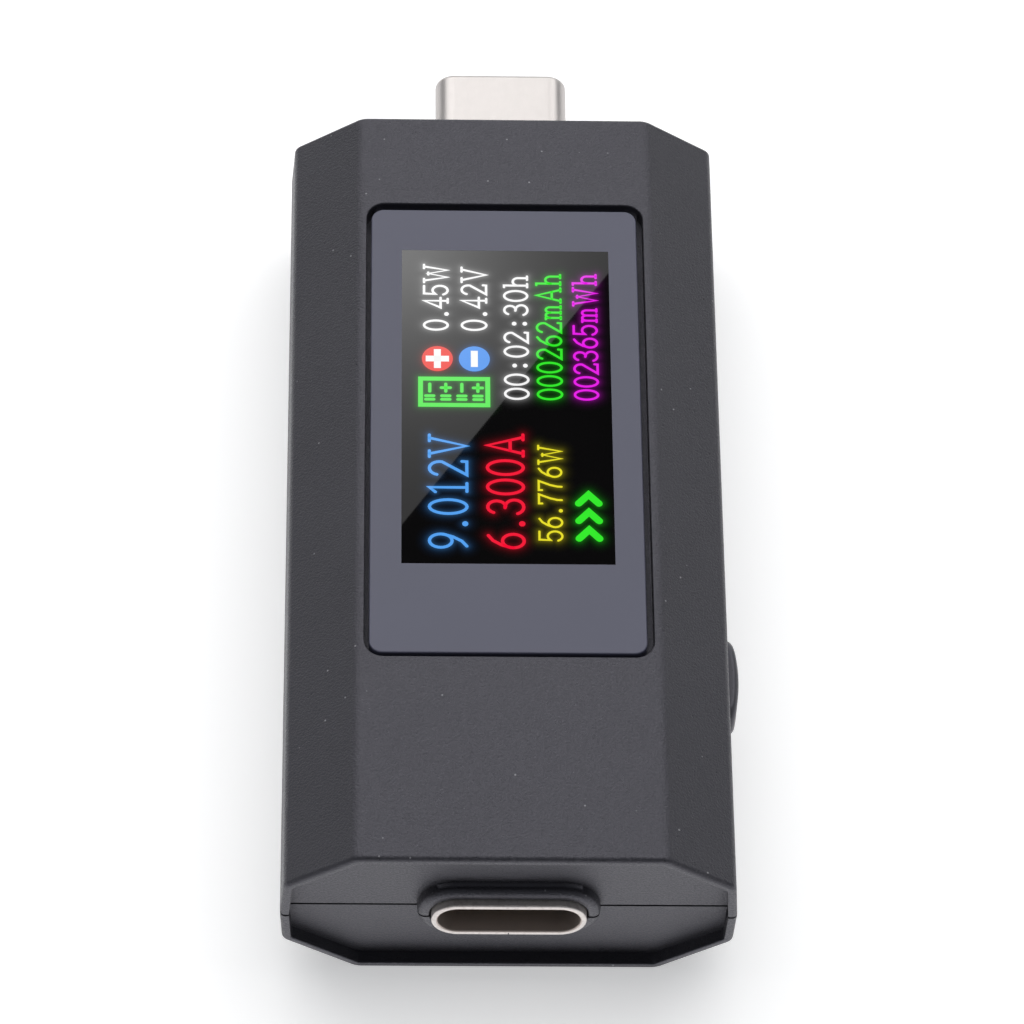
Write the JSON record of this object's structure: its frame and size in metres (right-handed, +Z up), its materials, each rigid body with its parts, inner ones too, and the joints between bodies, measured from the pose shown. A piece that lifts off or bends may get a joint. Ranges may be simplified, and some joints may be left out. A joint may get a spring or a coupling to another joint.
{
  "type": "usb power meter",
  "caption": "Inline power meter: eight-sided bar case with a plug at one end, a socket at the other, a colour display under a window and a sprung side button.",
  "frame": {"origin": "centre of the flat underside of the case", "axes": "+X towards the side button, +Y along the case towards the plug, +Z up through the display window"},
  "size_m": [0.0267, 0.0615, 0.0122],
  "materials": {
    "case": "fine spark-eroded texture, satin",
    "button": "fine spark-eroded texture, satin",
    "window": "clear hard-coated acrylic over a blue-grey print",
    "window_print": "screen-printed frame on the back of the window",
    "adhesive": "die-cut double-sided tape",
    "display_film": "polarising film",
    "display_glass": "thin display glass",
    "chip": "moulded epoxy",
    "white_plastic": "satin moulded",
    "flex": "amber polyimide",
    "foam": "closed-cell foam",
    "board": "green solder mask on glass-fibre laminate",
    "crystal_can": "nickel-plated lid",
    "tin": "tinned metal element",
    "ceramic": "fired ceramic with tinned ends",
    "steel": "bright deep-drawn stainless steel",
    "nickel": "satin nickel-plated steel",
    "port_plastic": "black glass-filled nylon",
    "gold": "gold-plated copper alloy"
  },
  "bodies": {
    "housing": {"capacitor_1": "ceramic", "capacitor_2": "ceramic", "capacitor_3": "ceramic", "capacitor_4": "ceramic", "controller_chip": "chip", "crystal": "crystal_can", "current_sense_chip": "chip", "display_backlight": "white_plastic", "display_driver_chip": "chip", "display_flex": "flex", "display_foam_far": "foam", "display_foam_near": "foam", "display_front_glass": "display_glass", "display_polariser": "display_film", "display_rear_glass": "display_glass", "lower_shell": "case", "main_board": "board", "memory_chip": "chip", "plug_contacts_lower": "gold", "plug_contacts_upper": "gold", "plug_ground_spring_lower": "steel", "plug_ground_spring_upper": "steel", "plug_insulator": "port_plastic", "plug_latch_left": "steel", "plug_latch_right": "steel", "plug_shell": "nickel", "protection_diode": "chip", "receptacle_contacts_lower": "gold", "receptacle_contacts_upper": "gold", "receptacle_shell": "steel", "receptacle_tongue": "port_plastic", "regulator": "chip", "shunt_resistor": "tin", "switch_body": "port_plastic", "switch_cover": "steel", "switch_dome": "steel", "upper_shell": "case", "window_lens": "window", "window_print": "window_print", "window_tape": "adhesive"},
    "button": {"side_button": "button", "switch_stem": "white_plastic"}
  },
  "joints": [
    {"name": "button_press", "type": "slide", "parent": "housing", "child": "button", "axis": [-1, 0, 0], "range_m": [0, 0.0003], "stiffness_N_per_m": 6000, "deforming": ["switch_dome"]}
  ]
}
